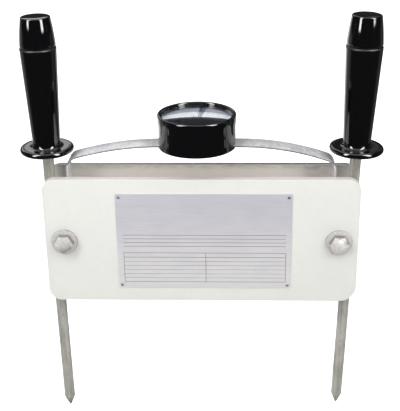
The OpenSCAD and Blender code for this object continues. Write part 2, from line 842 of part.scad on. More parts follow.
front_board();
back_board();
label_plate();
label_rivets();
clamp_bolts();
front_washers();
back_washers();
clamp_nuts();
front_spacers();
back_spacers();
load_strip();
meter_strip_left();
meter_strip_right();
prod_left();
prod_right();
grip_left();
grip_right();
cap_left();
cap_right();
handle_washer_left();
handle_washer_right();
handle_nut_left();
handle_nut_right();
meter_case();
terminal_studs();
terminal_washers();
terminal_nuts();
magnet_yoke();
core_magnet();
lower_bridge();
upper_bridge();
series_resistor();
moving_coil();
spindle();
hairspring();
needle();
dial_plate();
dial_mask();
dial_ring();
meter_glass();
glass_ring();
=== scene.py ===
"""Looks of the battery load tester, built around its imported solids.

All lengths are in metres, in the frame of the solids: X runs to the right, Y to the
back and Z up, with the origin between the prods at the level of the lower point.
"""

import json
import logging
import math
from dataclasses import dataclass
from enum import Enum
from typing import Any, Callable, Sequence

import bmesh
import bpy
from mathutils import Matrix, Vector

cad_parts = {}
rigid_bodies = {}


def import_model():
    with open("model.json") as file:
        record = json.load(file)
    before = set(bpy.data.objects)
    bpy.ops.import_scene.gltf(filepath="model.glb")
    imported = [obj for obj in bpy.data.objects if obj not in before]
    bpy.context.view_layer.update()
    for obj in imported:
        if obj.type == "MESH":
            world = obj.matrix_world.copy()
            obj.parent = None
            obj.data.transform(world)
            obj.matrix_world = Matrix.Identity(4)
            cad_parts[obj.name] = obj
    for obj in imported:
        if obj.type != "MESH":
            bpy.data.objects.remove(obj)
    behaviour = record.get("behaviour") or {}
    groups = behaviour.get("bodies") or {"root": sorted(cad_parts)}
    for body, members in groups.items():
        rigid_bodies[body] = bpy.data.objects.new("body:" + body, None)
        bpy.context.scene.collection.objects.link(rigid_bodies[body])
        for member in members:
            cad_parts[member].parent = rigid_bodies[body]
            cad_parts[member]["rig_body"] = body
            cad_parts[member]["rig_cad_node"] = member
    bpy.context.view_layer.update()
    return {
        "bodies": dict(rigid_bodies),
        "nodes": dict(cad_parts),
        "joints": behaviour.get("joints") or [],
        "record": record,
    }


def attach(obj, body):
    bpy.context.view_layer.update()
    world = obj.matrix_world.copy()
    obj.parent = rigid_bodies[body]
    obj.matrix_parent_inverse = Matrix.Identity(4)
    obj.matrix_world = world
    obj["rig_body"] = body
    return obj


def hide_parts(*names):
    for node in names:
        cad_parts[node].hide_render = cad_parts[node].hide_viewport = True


MM = 0.001
DEGREES = 180 / math.pi
# Points closer than MERGE become one, and places closer than SAME count as the same.
MERGE = 0.002 * MM
SAME = 0.01 * MM
Piece = bpy.types.Object
Socket = bpy.types.NodeSocket
Point = tuple[float, float]
Colour = tuple[float, float, float, float]
log = logging.getLogger("tester")


class Side(Enum):
    """The two sides of the tester, seen from the front."""

    LEFT = -1
    RIGHT = 1

    @property
    def word(self) -> str:
        """The side's name as the solids use it."""
        return self.name.lower()

    @property
    def prod_body(self) -> str:
        """The body that this side's prod and handle move with."""
        return f"{self.word}_prod"


def paint(red: int, green: int, blue: int) -> Colour:
    """Turns a colour as seen on a screen into the linear colour that shaders use.

    Args:
        red: Red from 0 to 255.
        green: Green from 0 to 255.
        blue: Blue from 0 to 255.

    Returns:
        The linear colour with full alpha.
    """

    def linear(value: int) -> float:
        """One channel in linear light."""
        part = value / 255
        return part / 12.92 if part <= 0.04045 else ((part + 0.055) / 1.055) ** 2.4

    return (linear(red), linear(green), linear(blue), 1.0)


# ---- Working at the mesh --------------------------------------------------------


def deselect() -> None:
    """Leaves edit mode and deselects every object."""
    if bpy.context.object and bpy.context.object.mode != "OBJECT":
        bpy.ops.object.mode_set(mode="OBJECT")
    bpy.ops.object.select_all(action="DESELECT")


def take(piece: Piece) -> None:
    """Makes one piece the only selected and active one.

    Args:
        piece: The piece to work on.
    """
    deselect()
    piece.select_set(True)
    bpy.context.view_layer.objects.active = piece


def named(name: str) -> Piece:
    """Names the piece that was just added.

    Args:
        name: Name for the object and its mesh.

    Returns:
        The active object.
    """
    piece = bpy.context.object
    piece.name = name
    piece.data.name = name
    return piece


def select_edges(piece: Piece, test: Callable[[Vector, Vector], bool]) -> None:
    """Selects edges of the piece in edit mode by the places of their ends.

    Args:
        piece: The piece in edit mode.
        test: Says for an edge's two ends whether it is selected.
    """
    bpy.ops.mesh.select_mode(type="EDGE")
    bpy.ops.mesh.select_all(action="DESELECT")
    mesh = bmesh.from_edit_mesh(piece.data)
    for edge in mesh.edges:
        if test(edge.verts[0].co, edge.verts[1].co):
            edge.select_set(True)
    bmesh.update_edit_mesh(piece.data)


def round_edges(piece: Piece, width: float, segments: int = 3, over: float = 50) -> None:
    """Rounds the sharp edges of a piece and shades it smooth up to them.

    Args:
        piece: The piece to round.
        width: Width of the rounding.
        segments: Faces across the rounding.
        over: Angle in degrees from which an edge counts as sharp.
    """
    take(piece)
    bevel = piece.modifiers.new("rounding", "BEVEL")
    bevel.width = width
    bevel.segments = segments
    bevel.limit_method = "ANGLE"
    bevel.angle_limit = math.radians(over)
    bevel.miter_outer = "MITER_ARC"
    bpy.ops.object.modifier_apply(modifier=bevel.name)
    bpy.ops.object.shade_smooth_by_angle(angle=math.radians(40))


def put(piece: Piece, place: Matrix) -> None:
    """Moves a piece to its place and writes the place into its mesh.

    Args:
        piece: The piece to move.
        place: Where its own origin and axes go.
    """
    take(piece)
    piece.matrix_world = place
    bpy.ops.object.transform_apply(location=True, rotation=True, scale=True)


def block(name: str, centre: Sequence[float], size: Sequence[float]) -> Piece:
    """Adds a box with its place in its mesh, ready to be shaped.

    Args:
        name: Name of the new piece.
        centre: Middle of the box.
        size: Full size along X, Y and Z.

    Returns:
        The new piece.
    """
    deselect()
    bpy.ops.mesh.primitive_cube_add(size=1, location=tuple(centre))
    piece = named(name)
    piece.scale = tuple(size)
    bpy.ops.object.transform_apply(location=True, rotation=True, scale=True)
    return piece


def turned(name: str, profile: Sequence[Point], steps: int = 128, over: float = 35) -> Piece:
    """Draws a half outline point by point and spins it round the Z axis.

    Args:
        name: Name of the new piece.
        profile: Points as (radius, height), in order.
        steps: Faces round the axis.
        over: Angle in degrees from which an edge stays sharp in the shading.

    Returns:
        The new piece, standing on the origin.
    """
    deselect()
    bpy.ops.mesh.primitive_plane_add(size=MM)
    piece = named(name)
    bpy.ops.object.mode_set(mode="EDIT")
    bpy.ops.mesh.select_mode(type="VERT")
    bpy.ops.mesh.select_all(action="SELECT")
    bpy.ops.mesh.merge(type="CENTER")
    bpy.ops.transform.translate(value=(profile[0][0], 0, profile[0][1]))
    for here, there in zip(profile, profile[1:]):
        step = (there[0] - here[0], 0, there[1] - here[1])
        bpy.ops.mesh.extrude_region_move(TRANSFORM_OT_translate={"value": step})
    bpy.ops.mesh.select_all(action="SELECT")
    bpy.ops.mesh.spin(steps=steps, angle=math.tau, center=(0, 0, 0), axis=(0, 0, 1))
    bpy.ops.mesh.select_all(action="SELECT")
    bpy.ops.mesh.remove_doubles(threshold=MERGE)
    bpy.ops.mesh.normals_make_consistent(inside=False)
    bpy.ops.object.mode_set(mode="OBJECT")
    bpy.ops.object.shade_smooth_by_angle(angle=math.radians(over))
    return piece


def arc(centre: Point, radius: float, start: float, end: float, steps: int = 8) -> list[Point]:
    """Points along a circular arc of an outline.

    Args:
        centre: Middle of the arc.
        radius: Radius of the arc.
        start: First angle in degrees.
        end: Last angle in degrees.
        steps: Number of straight pieces.

    Returns:
        The points, both ends included.
    """
    angles = [math.radians(start + (end - start) * i / steps) for i in range(steps + 1)]
    return [(centre[0] + radius * math.cos(a), centre[1] + radius * math.sin(a)) for a in angles]


def softened(frame: dict[str, Any], node: str, name: str, width: float) -> Piece:
    """Copies a solid, rounds the copy's edges and lets it stand for the solid.

    Args:
        frame: The loaded solids.
        node: Name of the solid.
        name: Name of the copy.
        width: Width of the rounding.

    Returns:
        The copy, riding on the solid's body.
    """
    solid = frame["nodes"][node]
    body = solid["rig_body"]
    take(solid)
    bpy.ops.object.duplicate()
    copy = named(name)
    copy.parent = None
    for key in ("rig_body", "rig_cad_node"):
        if key in copy:
            del copy[key]
    bpy.ops.object.mode_set(mode="EDIT")
    bpy.ops.mesh.select_all(action="SELECT")
    bpy.ops.mesh.remove_doubles(threshold=MERGE)
    bpy.ops.mesh.dissolve_limited(angle_limit=math.radians(0.4))
    bpy.ops.object.mode_set(mode="OBJECT")
    round_edges(copy, width, segments=2, over=40)
    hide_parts(node)
    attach(copy, body)
    return copy


def dress(piece: Piece, finish: "Finish") -> None:
    """Gives a piece one finish.

    Args:
        piece: The piece or solid to dress.
        finish: What it is finished in.
    """
    piece.data.materials.clear()
    piece.data.materials.append(finish.material())


# ---- Finishes -------------------------------------------------------------------


class Shades:
    """Adds shader nodes to one material and links them up."""

    def __init__(self, name: str) -> None:
        """Starts an empty material.

        Args:
            name: Name of the material.
        """
        self.material = bpy.data.materials.new(name)
        self.material.use_nodes = True
        self.tree = self.material.node_tree
        self.tree.nodes.clear()
        self.place = self.add("ShaderNodeTexCoord").outputs["Object"]

    def add(self, kind: str, inputs: dict[Any, Any] | None = None, **settings: Any) -> bpy.types.Node:
        """Adds one node.

        Args:
            kind: Blender's name of the node type.
            inputs: Values or sockets for its inputs.
            **settings: Properties of the node.

        Returns:
            The new node.
        """
        node = self.tree.nodes.new(kind)
        for key, value in settings.items():
            setattr(node, key, value)
        for key, value in (inputs or {}).items():
            if isinstance(value, Socket):
                self.tree.links.new(value, node.inputs[key])
            else:
                node.inputs[key].default_value = value
        return node

    def sum(self, operation: str, first: Any, second: Any = 0.0) -> Socket:
        """Works out one step of arithmetic.

        Args:
            operation: Blender's name of the operation.
            first: First value or socket.
            second: Second value or socket.

        Returns:
            The socket with the result.
        """
        return self.add("ShaderNodeMath", {0: first, 1: second}, operation=operation).outputs[0]

    def times(self, first: Any, second: Any) -> Socket:
        """Multiplies two values or sockets."""
        return self.sum("MULTIPLY", first, second)

    def noise(self, size: float, detail: float = 3, stretch: Sequence[float] = (1, 1, 1)) -> Socket:
        """Soft noise on the piece's own coordinates.

        Args:
            size: Rough size of a blotch in metres.
            detail: Octaves of finer noise.
            stretch: How fast the pattern changes along each axis.

        Returns:
            The socket with the noise, around 0.5.
        """
        spread = self.add("ShaderNodeMapping", {"Vector": self.place, "Scale": tuple(stretch)})
        texture = self.add(
            "ShaderNodeTexNoise",
            {"Vector": spread.outputs[0], "Scale": 1 / size, "Detail": detail, "Roughness": 0.55},
        )
        return texture.outputs["Fac"]

    def between(self, value: Any, low: float, high: float, first: float = 0, last: float = 1) -> Socket:
        """Spreads a value's range over another one, smoothly and with clamped ends.

        Args:
            value: The socket to spread.
            low: Value that becomes first.
            high: Value that becomes last.
            first: Result at low.
            last: Result at high.

        Returns:
            The socket with the result.
        """
        node = self.add(
            "ShaderNodeMapRange",
            {"Value": value, "From Min": low, "From Max": high, "To Min": first, "To Max": last},
            interpolation_type="SMOOTHSTEP",
        )
        return node.outputs[0]

    def blend(self, share: Any, first: Any, second: Any) -> Socket:
        """Mixes two colours.

        Args:
            share: Share of the second colour.
            first: First colour or socket.
            second: Second colour or socket.

        Returns:
            The socket with the mixed colour.
        """
        node = self.add("ShaderNodeMix", data_type="RGBA", clamp_factor=True)
        for index, value in ((0, share), (6, first), (7, second)):
            if isinstance(value, Socket):
                self.tree.links.new(value, node.inputs[index])
            else:
                node.inputs[index].default_value = value
        return node.outputs[2]

    def axes(self) -> tuple[Socket, Socket, Socket]:
        """The three coordinates of the shaded point.

        Returns:
            The sockets for X, Y and Z in metres.
        """
        split = self.add("ShaderNodeSeparateXYZ", {0: self.place})
        return split.outputs[0], split.outputs[1], split.outputs[2]

    def facing(self) -> tuple[Socket, ...]:
        """The sockets for X, Y and Z of the direction that the surface faces."""
        normal = self.add("ShaderNodeNewGeometry").outputs["Normal"]
        return tuple(self.add("ShaderNodeSeparateXYZ", {0: normal}).outputs)

    def near(self, value: Socket, centre: float, half: float, soft: float) -> Socket:
        """A band round one value.

        Args:
            value: The socket to compare.
            centre: Middle of the band.
            half: Half the width of the band.
            soft: Width over which the band fades out.

        Returns:
            The socket with 1 inside the band and 0 outside it.
        """
        off = self.sum("ABSOLUTE", self.sum("SUBTRACT", value, centre))
        return self.between(off, half, half + soft, 1, 0)

    def bump(self, height: Socket, strength: float, depth: float) -> Socket:
        """Turns a height into a bumpy normal.

        Args:
            height: The socket with the height.
            strength: How much of the bump shows.
            depth: Depth of the bumps in metres.

        Returns:
            The socket with the normal.
        """
        inputs = {"Height": height, "Strength": strength, "Distance": depth}
        return self.add("ShaderNodeBump", inputs).outputs[0]

    def close(self, shader: bpy.types.Node) -> bpy.types.Material:
        """Ends the material with its surface shader.

        Args:
            shader: The node whose first output is the surface.

        Returns:
            The finished material.
        """
        self.add("ShaderNodeOutputMaterial", {"Surface": shader.outputs[0]})
        return self.material

    def surface(self, inputs: dict[str, Any]) -> bpy.types.Material:
        """Ends the material with one principled surface that has these inputs."""
        return self.close(self.add("ShaderNodeBsdfPrincipled", inputs))

    def glow(self, strength: Any) -> bpy.types.Material:
        """Ends the material as a white light of the given strength."""
        return self.close(self.add("ShaderNodeEmission", {"Strength": strength}))


@dataclass(frozen=True)
class Finish:
    """A finish with a name; the same finish gives the same material each time."""

    name: str

    def material(self) -> bpy.types.Material:
        """The finish's material, made on its first use."""
        made = bpy.data.materials.get(self.name)
        return made or self.build(Shades(self.name))

    def build(self, shades: Shades) -> bpy.types.Material:
        """Builds the material; each kind of finish has its own way."""
        raise NotImplementedError


@dataclass(frozen=True)
class BoardPaint(Finish):
    """Off-white painted board, marked by the heat of the load strip, with painted shade and painted light
    inside.

    Facing is the way the board's outer face looks along Y: -1 to the front, 1 to the back.
    """

    colour: Colour = paint(243, 244, 238)
    rim: Colour = paint(242, 233, 227)
    scorch: Colour = paint(104, 98, 92)
    warm: Colour = paint(252, 245, 239)
    top: float = 234.1 * MM
    top_heat: float = 0.12
    inner_heat: float = 0.6
    stain_x: float = 98 * MM
    swivel_x: float = 119 * MM
    outer_from: float = 14.4 * MM
    outer_to: float = 16.2 * MM
    facing: float = 1.0

    def build(self, shades: Shades) -> bpy.types.Material:
        """Speckled paint: warmer edge faces, heat marks, painted shade and painted light inside, and a
        browned outer part of the top.

        Args:
            shades: The empty material.

        Returns:
            The finished material.
        """
        x, y, z = shades.axes()
        across, up = shades.facing()[1:]
        grain = shades.noise(1.1 * MM, 2)
        cloud = shades.noise(24 * MM, 3)
        tone = shades.between(shades.sum("ADD", shades.times(grain, 0.35), cloud), 0.4, 1.0)
        colour = shades.blend(tone, self.colour, tuple(c * 0.965 for c in self.colour[:3]) + (1.0,))
        speck = shades.between(shades.noise(1.5 * MM, 1), 0.68, 0.76, 0, 0.4)
        colour = shades.blend(speck, colour, paint(222, 214, 208))

        side_face = shades.between(shades.sum("ABSOLUTE", across), 0.5, 0.9, 0.8, 0)
        colour = shades.blend(side_face, colour, self.rim)

        inner = shades.between(shades.times(across, -self.facing), 0.5, 0.9)
        # Inner face: the board's warm tint, made lighter than the paint as painted light for the shade
        # between the boards.
        blush_and_light = shades.between(shades.noise(16 * MM, 3), 0.25, 0.6, 0.5, 0.95)
        colour = shades.blend(shades.times(blush_and_light, inner), colour, self.warm)
        depth = shades.sum("SUBTRACT", self.top, z)
        below = shades.between(depth, 0.3 * MM, 5 * MM, 0.75, 0)
        patch = shades.noise(7 * MM, 4, (0.7, 1, 1.6))
        ragged = shades.between(patch, 0.35, 0.65)
        right = shades.near(x, self.stain_x, 6 * MM, 9 * MM)
        right = shades.times(right, shades.between(patch, 0.3, 0.6, 0.25, 0.7))
        # Painted shade beside each swivel, where the prod and the strip's leg shade the inner face; it is
        # added to the heat marks.
        swivel_shade = shades.near(shades.sum("ABSOLUTE", x), self.swivel_x, 2 * MM, 9 * MM)
        heat = shades.sum("ADD", shades.times(below, ragged), right)
        heat = shades.sum("ADD", heat, shades.times(swivel_shade, 0.75))
        heat = shades.times(shades.times(heat, inner), self.inner_heat)
        colour = shades.blend(heat, colour, self.scorch)

        streak = shades.between(shades.noise(9 * MM, 3, (1, 0.3, 1)), 0.3, 0.6, 0.65, 1.0)
        toward_right = shades.between(x, -120 * MM, 60 * MM, 0.55, 1.0)
        outer = shades.between(shades.times(y, self.facing), self.outer_from, self.outer_to)
        top_share = shades.times(shades.between(up, 0.6, 0.95), shades.times(outer, self.top_heat))
        top_share = shades.times(shades.times(top_share, streak), toward_right)
        colour = shades.blend(top_share, colour, self.scorch)
        return shades.surface(
            {
                "Base Color": colour,
                "Roughness": shades.between(cloud, 0.3, 0.7, 0.5, 0.62),
                "Normal": shades.bump(grain, 0.25, 0.06 * MM),
            }
        )


@dataclass(frozen=True)
class PlatedMetal(Finish):
    """Bare or plated metal with blotches or streaks and a dull or bright sheen.

    Painted shade greys, by the side share, the faces that look sideways, up or down, and, by
    the front share, those that look to the front or back above a set height.
    """

    light: Colour = paint(214, 214, 216)
    dark: Colour = paint(160, 162, 164)
    blotch: float = 5 * MM
    stretch: tuple[float, float, float] = (1, 1, 1)
    smooth: float = 0.28
    dull: float = 0.45
    bumps: float = 0.03 * MM
    spots: float = 0.0
    metallic: float = 1.0
    side_dark: float = 0.0
    front_dark: float = 0.0
    front_from: float = 0.0

    def build(self, shades: Shades) -> bpy.types.Material:
        """Two layers of blotches set colour and sheen; grime and painted shade on chosen faces come on
        top.

        Args:
            shades: The empty material.

        Returns:
            The finished material.
        """
        broad = shades.noise(self.blotch, 3, self.stretch)
        fine = shades.noise(self.blotch / 6, 3, self.stretch)
        tone = shades.sum("ADD", shades.times(broad, 0.65), shades.times(fine, 0.35))
        share = shades.between(tone, 0.36, 0.64)
        colour = shades.blend(share, self.light, self.dark)
        if self.spots:
            grime = shades.between(shades.noise(2.2 * MM, 3), 0.62, 0.72)
            deep = tuple(c * 0.35 for c in self.dark[:3]) + (1.0,)
            colour = shades.blend(shades.times(grime, self.spots), colour, deep)
        # Painted shade: the sides of bolts and washers and the front edges of strips are greyed.
        if self.side_dark or self.front_dark:
            across = shades.sum("ABSOLUTE", shades.facing()[1])
            z = shades.axes()[2]
            front = shades.between(z, self.front_from, self.front_from + 3 * MM, 0, self.front_dark)
            facing = shades.between(across, 0.45, 0.9)
            side = shades.between(facing, 0, 1, self.side_dark, 0)
            shade_share = shades.sum("ADD", side, shades.times(facing, front))
            colour = shades.blend(shade_share, colour, paint(92, 88, 86))
        return shades.surface(
            {
                "Base Color": colour,
                "Metallic": self.metallic,
                "Roughness": shades.between(share, 0, 1, self.smooth, self.dull),
                "Normal": shades.bump(tone, 0.6, self.bumps),
            }
        )


@dataclass(frozen=True)
class ProdSteel(Finish):
    """Dull plated rod with marks along its length, and a pit on one of the two."""

    light: Colour = paint(222, 221, 212)
    dark: Colour = paint(174, 172, 163)
    pit: tuple[float, float, float] | None = None

    def build(self, shades: Shades) -> bpy.types.Material:
        """Long streaks, small stains, a darker point and the pit.

        Args:
            shades: The empty material.

        Returns:
            The finished material.
        """
        _, _, z = shades.axes()
        streak = shades.noise(1.6 * MM, 3, (1, 1, 0.03))
        stain = shades.noise(12 * MM, 4, (1, 1, 0.5))
        grain = shades.noise(0.7 * MM, 2)
        tone = shades.sum("ADD", shades.times(streak, 0.5), shades.times(stain, 0.5))
        colour = shades.blend(shades.between(tone, 0.36, 0.66), self.light, self.dark)
        grime = shades.between(shades.noise(3 * MM, 4, (1, 1, 0.4)), 0.6, 0.75, 0, 0.4)
        colour = shades.blend(grime, colour, paint(112, 108, 100))
        point = shades.between(z, 11 * MM, 4 * MM, 0, 0.45)
        colour = shades.blend(point, colour, paint(105, 102, 96))
        height = shades.sum("ADD", shades.times(streak, 0.6), shades.times(grain, 0.4))
        if self.pit:
            away = shades.add("ShaderNodeVectorMath", {0: shades.place, 1: self.pit}, operation="DISTANCE")
            hole = shades.between(away.outputs["Value"], 0.7 * MM, 1.4 * MM, 1, 0)
            colour = shades.blend(hole, colour, paint(48, 44, 40))
            height = shades.sum("SUBTRACT", height, shades.times(hole, 3.0))
        return shades.surface(
            {
                "Base Color": colour,
                "Metallic": 0.35,
                "Roughness": shades.between(stain, 0.35, 0.65, 0.38, 0.55),
                "Normal": shades.bump(height, 0.5, 0.05 * MM),
            }
        )


@dataclass(frozen=True)
class GlossBlack(Finish):
    """Polished black moulding with faint waves, dust, fine scratches and a dull seam.

    Seam is the seam's height. The default lies far below the tester and means none.
    """

    colour: Colour = (0.0022, 0.0022, 0.003, 1.0)
    smooth: float = 0.05
    polish: float = 1.0
    seam: float = -1.0
    seam_half: float = 1.1 * MM
    seam_soft: float = 0.5 * MM
    seam_dull: float = 0.4

    def build(self, shades: Shades) -> bpy.types.Material:
        """Deep black with as much clear polish as the piece has, worn at the seam.

        Args:
            shades: The empty material.

        Returns:
            The finished material.
        """
        wave = shades.noise(9 * MM, 2, (1, 1, 0.35))
        scratch = shades.noise(0.8 * MM, 3, (1, 1, 0.08))
        dust = shades.between(shades.noise(1.1 * MM, 2), 0.72, 0.82, 0, 0.08)
        worn = shades.near(shades.axes()[2], self.seam, self.seam_half, self.seam_soft)
        fine = shades.between(scratch, 0.5, 0.75, self.smooth, self.smooth + 0.03)
        return shades.surface(
            {
                "Base Color": shades.blend(dust, self.colour, paint(70, 70, 74)),
                "Roughness": shades.sum("ADD", fine, shades.times(worn, self.seam_dull)),
                "IOR": 1.5,
                "Coat Weight": self.polish,
                "Coat Roughness": shades.between(worn, 0, 1, 0.03, self.seam_dull),
                "Coat IOR": 1.6,
                "Normal": shades.bump(wave, 0.15, 0.08 * MM),
            }
        )


@dataclass(frozen=True)
class LabelMetal(Finish):
    """Satin silvery plate with a faint brushed grain."""

    high: Colour = paint(216, 214, 222)
    low: Colour = paint(250, 249, 249)
    top: float = 221.5 * MM
    height: float = 87 * MM

    def build(self, shades: Shades) -> bpy.types.Material:
        """A slow change of tone down the plate, under a fine grain.

        Args:
            shades: The empty material.

        Returns:
            The finished material.
        """
        _, _, z = shades.axes()
        grain = shades.noise(0.8 * MM, 2, (0.04, 1, 1))
        cloud = shades.noise(26 * MM, 2)
        down = shades.between(z, self.top, self.top - self.height)
        share = shades.sum("ADD", down, shades.between(cloud, 0.3, 0.7, -0.07, 0.07))
        colour = shades.blend(share, self.high, self.low)
        colour = shades.blend(shades.between(grain, 0.3, 0.7, 0, 0.12), colour, paint(160, 158, 168))
        return shades.surface(
            {
                "Base Color": colour,
                "Metallic": 0.15,
                "Roughness": shades.between(grain, 0.3, 0.7, 0.36, 0.5),
                "Normal": shades.bump(grain, 0.2, 0.02 * MM),
            }
        )


@dataclass(frozen=True)
class PlainCoat(Finish):
    """One even colour with a slight mottle, for ink, varnish and small inner pieces."""

    colour: Colour = paint(120, 60, 66)
    rough: float = 0.5
    mottle: float = 0.12

    def build(self, shades: Shades) -> bpy.types.Material:
        """The colour and a darker shade of it, in small patches.

        Args:
            shades: The empty material.

        Returns:
            The finished material.
        """
        patch = shades.noise(1.5 * MM, 3)
        deep = tuple(c * (1 - 3 * self.mottle) for c in self.colour[:3]) + (1.0,)
        return shades.surface(
            {
                "Base Color": shades.blend(shades.between(patch, 0.3, 0.7), self.colour, deep),
                "Roughness": self.rough,
                "Normal": shades.bump(patch, 0.1, 0.02 * MM),
            }
        )


@dataclass(frozen=True)
class DialFace(Finish):
    """White dial, greyer in a ring beyond the scale line, with plain marks and a painted reflection near
    the back.

    Angles are in degrees round the needle's axis, from straight back towards the right.
    """

    axis_x: float = 0.0
    axis_y: float = -18 * MM
    band_low: float = 37.3 * MM
    long_low: float = 33.8 * MM
    short_low: float = 35.6 * MM
    sweep: float = 45.5
    zone_angle: float = 5.4
    zone_half: float = 3.6
    zone_from: float = 30.5 * MM
    zone_to: float = 37.4 * MM
    white: Colour = paint(226, 233, 238)
    band: Colour = paint(160, 164, 178)
    zone: Colour = paint(34, 38, 50)

    def build(self, shades: Shades) -> bpy.types.Material:
        """Rings, marks and the painted reflection, counted round the needle's axis.

        Args:
            shades: The empty material.

        Returns:
            The finished material.
        """
        x, y, _ = shades.axes()
        right = shades.sum("SUBTRACT", x, self.axis_x)
        back = shades.sum("SUBTRACT", y, self.axis_y)
        square = shades.sum("ADD", shades.times(right, right), shades.times(back, back))
        radius = shades.sum("SQRT", square)
        angle = shades.times(shades.sum("ARCTAN2", right, back), DEGREES)
        fine = 0.15 * MM
        band = shades.between(radius, self.band_low, self.band_low + fine)
        colour = shades.blend(band, self.white, self.band)
        line = shades.near(radius, self.band_low, fine, fine)
        within = shades.near(angle, 0, self.sweep, 0.3)

        def marks(step: float, low: float, high: float, half: float) -> Socket:
            """Short lines at even angles between two radii.

            Args:
                step: Angle from one line to the next.
                low: Inner radius.
                high: Outer radius.
                half: Half the width of a line.

            Returns:
                The socket with 1 on the lines and 0 off them.
            """
            turn = shades.sum("PINGPONG", angle, step / 2)
            stroke = shades.between(shades.times(turn, radius), 0, DEGREES * half, 1, 0)
            length = shades.near(radius, (low + high) / 2, (high - low) / 2, fine)
            return shades.times(shades.times(stroke, length), within)

        long_marks = marks(15, self.long_low, self.band_low, 0.35 * MM)
        short_marks = marks(3, self.short_low, self.band_low, 0.25 * MM)
        strokes = shades.sum("MAXIMUM", long_marks, short_marks)
        strokes = shades.sum("MAXIMUM", strokes, shades.times(line, within))
        colour = shades.blend(strokes, colour, paint(30, 32, 40))
        # Painted reflection: a dark sector with streaks along Y, for a dark upright thing mirrored in the
        # glass.
        reflection_streaks = shades.between(shades.noise(0.5 * MM, 2, (1, 0.03, 1)), 0.35, 0.6, 0.55, 1)
        deep = shades.between(radius, self.zone_from, self.zone_to, 0.6, 1)
        zone = shades.times(shades.near(angle, self.zone_angle, self.zone_half, 0.3), deep)
        colour = shades.blend(shades.times(zone, reflection_streaks), colour, self.zone)
        return shades.surface({"Base Color": colour, "Roughness": 0.45})


@dataclass(frozen=True)
class ClearGlass(Finish):
    """Flat window glass that lets the light through to the dial."""

    def build(self, shades: Shades) -> bpy.types.Material:
        """Clear glass that casts no dark shadow, with a trace of dust.

        Args:
            shades: The empty material.

        Returns:
            The finished material.
        """
        smear = shades.between(shades.noise(6 * MM, 3), 0.4, 0.8, 0.0, 0.05)
        glass = shades.add(
            "ShaderNodeBsdfPrincipled",
            {"Base Color": (1, 1, 1, 1), "Transmission Weight": 1.0, "IOR": 1.45, "Roughness": smear},
        )
        clear = shades.add("ShaderNodeBsdfTransparent")
        path = shades.add("ShaderNodeLightPath")
        parts = {0: path.outputs["Is Shadow Ray"], 1: glass.outputs[0], 2: clear.outputs[0]}
        return shades.close(shades.add("ShaderNodeMixShader", parts))


# Bolts, washers and nuts, with painted shade on their sides.
BRIGHT_ZINC = PlatedMetal(
    "bright_zinc", paint(236, 234, 230), paint(214, 210, 206), 2.4 * MM,
    smooth=0.4, dull=0.5, metallic=0.15, side_dark=0.75,
)
# Meter strips, with painted shade on their front edges above the boards.
STRIP_ZINC = PlatedMetal(
    "strip_zinc", paint(252, 252, 254), paint(208, 210, 215), 14 * MM, (1, 0.7, 1),
    smooth=0.3, dull=0.42, metallic=0.2, front_dark=0.7, front_from=241 * MM,
)
SPACER_STEEL = PlatedMetal("spacer_steel", paint(186, 184, 180), paint(150, 148, 144), 4 * MM, spots=0.3)
LOAD_METAL = PlatedMetal(
    "load_metal", paint(128, 112, 100), paint(70, 66, 70), 14 * MM, (1, 1, 0.6),
    smooth=0.4, dull=0.6, spots=0.2,
)
RIVET_METAL = PlatedMetal(
    "rivet_metal", paint(186, 182, 188), paint(138, 132, 138), 1.0 * MM,
    smooth=0.3, dull=0.5, metallic=0.8,
)
BRASS = PlatedMetal("brass", paint(206, 172, 104), paint(160, 128, 70), 3 * MM, smooth=0.25, dull=0.45)
IRON = PlatedMetal("dark_iron", paint(120, 120, 124), paint(74, 74, 78), 3 * MM, smooth=0.4, dull=0.6)
COPPER_WIRE = PlatedMetal(
    "copper_wire", paint(190, 112, 70), paint(120, 62, 38), 1.5 * MM, (1, 1, 9), smooth=0.3, dull=0.45
)
VARNISH = PlainCoat("resistor_varnish", paint(96, 48, 30), 0.3)
INK = PlainCoat("label_ink", paint(112, 58, 72), 0.6, 0.05)
NEEDLE_PAINT = PlainCoat("needle_paint", paint(24, 24, 28), 0.5, 0.05)
HANDLE_BLACK = GlossBlack("handle_black", seam=340.5 * MM)
CASE_BLACK = GlossBlack("case_black")
COVER_BLACK = GlossBlack("cover_black", (0.010, 0.010, 0.014, 1.0), 0.1, 0.0)


# ---- Pieces ---------------------------------------------------------------------


